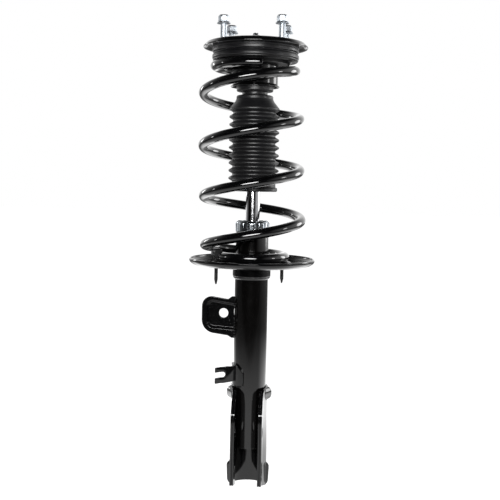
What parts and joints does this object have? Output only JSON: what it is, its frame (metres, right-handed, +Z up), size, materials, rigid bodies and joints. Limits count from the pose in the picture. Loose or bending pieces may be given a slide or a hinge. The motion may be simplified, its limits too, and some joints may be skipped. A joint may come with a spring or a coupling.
{
  "type": "suspension strut",
  "caption": "MacPherson strut with coil spring, rubber boot, studded top mount, spring seats and a clevis bracket for the steering knuckle.",
  "frame": {"origin": "on the strut's axis, in the plane of the top plate's seating face, where the four studs stand", "axes": "+Z up along the strut's axis towards the studs; the knuckle bracket opens to -Y and the link bracket stands out to -X"},
  "size_m": [0.194, 0.194, 0.7211],
  "materials": {
    "gloss_black_steel": "gloss",
    "zinc_steel": "bright zinc",
    "mount_rubber": "matte",
    "bare_steel": "satin",
    "bearing_plastic": "satin",
    "chrome_rod": "polished",
    "damper_metal": "sintered",
    "seat_rubber": "satin",
    "stop_foam": "matte",
    "boot_rubber": "satin",
    "spring_coating": "gloss powder coat",
    "tube_paint": "satin",
    "guide_bronze": "satin"
  },
  "bodies": {
    "top_mount": {"mount_plate": "gloss_black_steel", "mount_studs": "zinc_steel", "stud_nuts": "zinc_steel", "mount_rubber": "mount_rubber", "mount_core": "bare_steel", "mount_cup": "gloss_black_steel", "rod_washer": "bare_steel", "rod_nut": "bare_steel", "bearing_upper_race": "bearing_plastic", "piston_rod": "chrome_rod", "rebound_stop": "damper_metal", "piston": "damper_metal", "piston_band": "bearing_plastic", "valve_shims": "bare_steel", "piston_nut": "bare_steel"},
    "upper_seat": {"bearing_lower_race": "bearing_plastic", "bearing_balls": "bare_steel", "upper_spring_seat": "gloss_black_steel", "upper_insulator": "seat_rubber", "bump_stop": "stop_foam", "dust_boot": "boot_rubber", "coil_spring": "spring_coating"},
    "strut_body": {"reservoir_tube": "tube_paint", "tube_end_cap": "tube_paint", "pressure_tube": "bare_steel", "base_valve": "damper_metal", "rod_guide": "damper_metal", "guide_bush": "guide_bronze", "rod_seal": "seat_rubber", "bumper_cap": "zinc_steel", "lower_spring_seat": "gloss_black_steel", "seat_weld_bead": "tube_paint", "lower_insulator": "seat_rubber", "sway_link_bracket": "tube_paint", "hose_bracket": "tube_paint", "hose_bracket_saddle": "tube_paint", "knuckle_bracket": "tube_paint", "knuckle_reinforcements": "tube_paint"}
  },
  "joints": [
    {"name": "steer", "type": "hinge", "parent": "top_mount", "child": "upper_seat", "pos_m": [0, 0, -0.01625], "axis": [0, 0, 1], "range_deg": [-40, 40]},
    {"name": "jounce", "type": "slide", "parent": "upper_seat", "child": "strut_body", "axis": [0, 0, 1], "range_m": [0, 0.15], "stiffness_N_per_m": 26000, "springref_m": -0.004, "deforming": ["coil_spring", "dust_boot", "bump_stop"]}
  ]
}
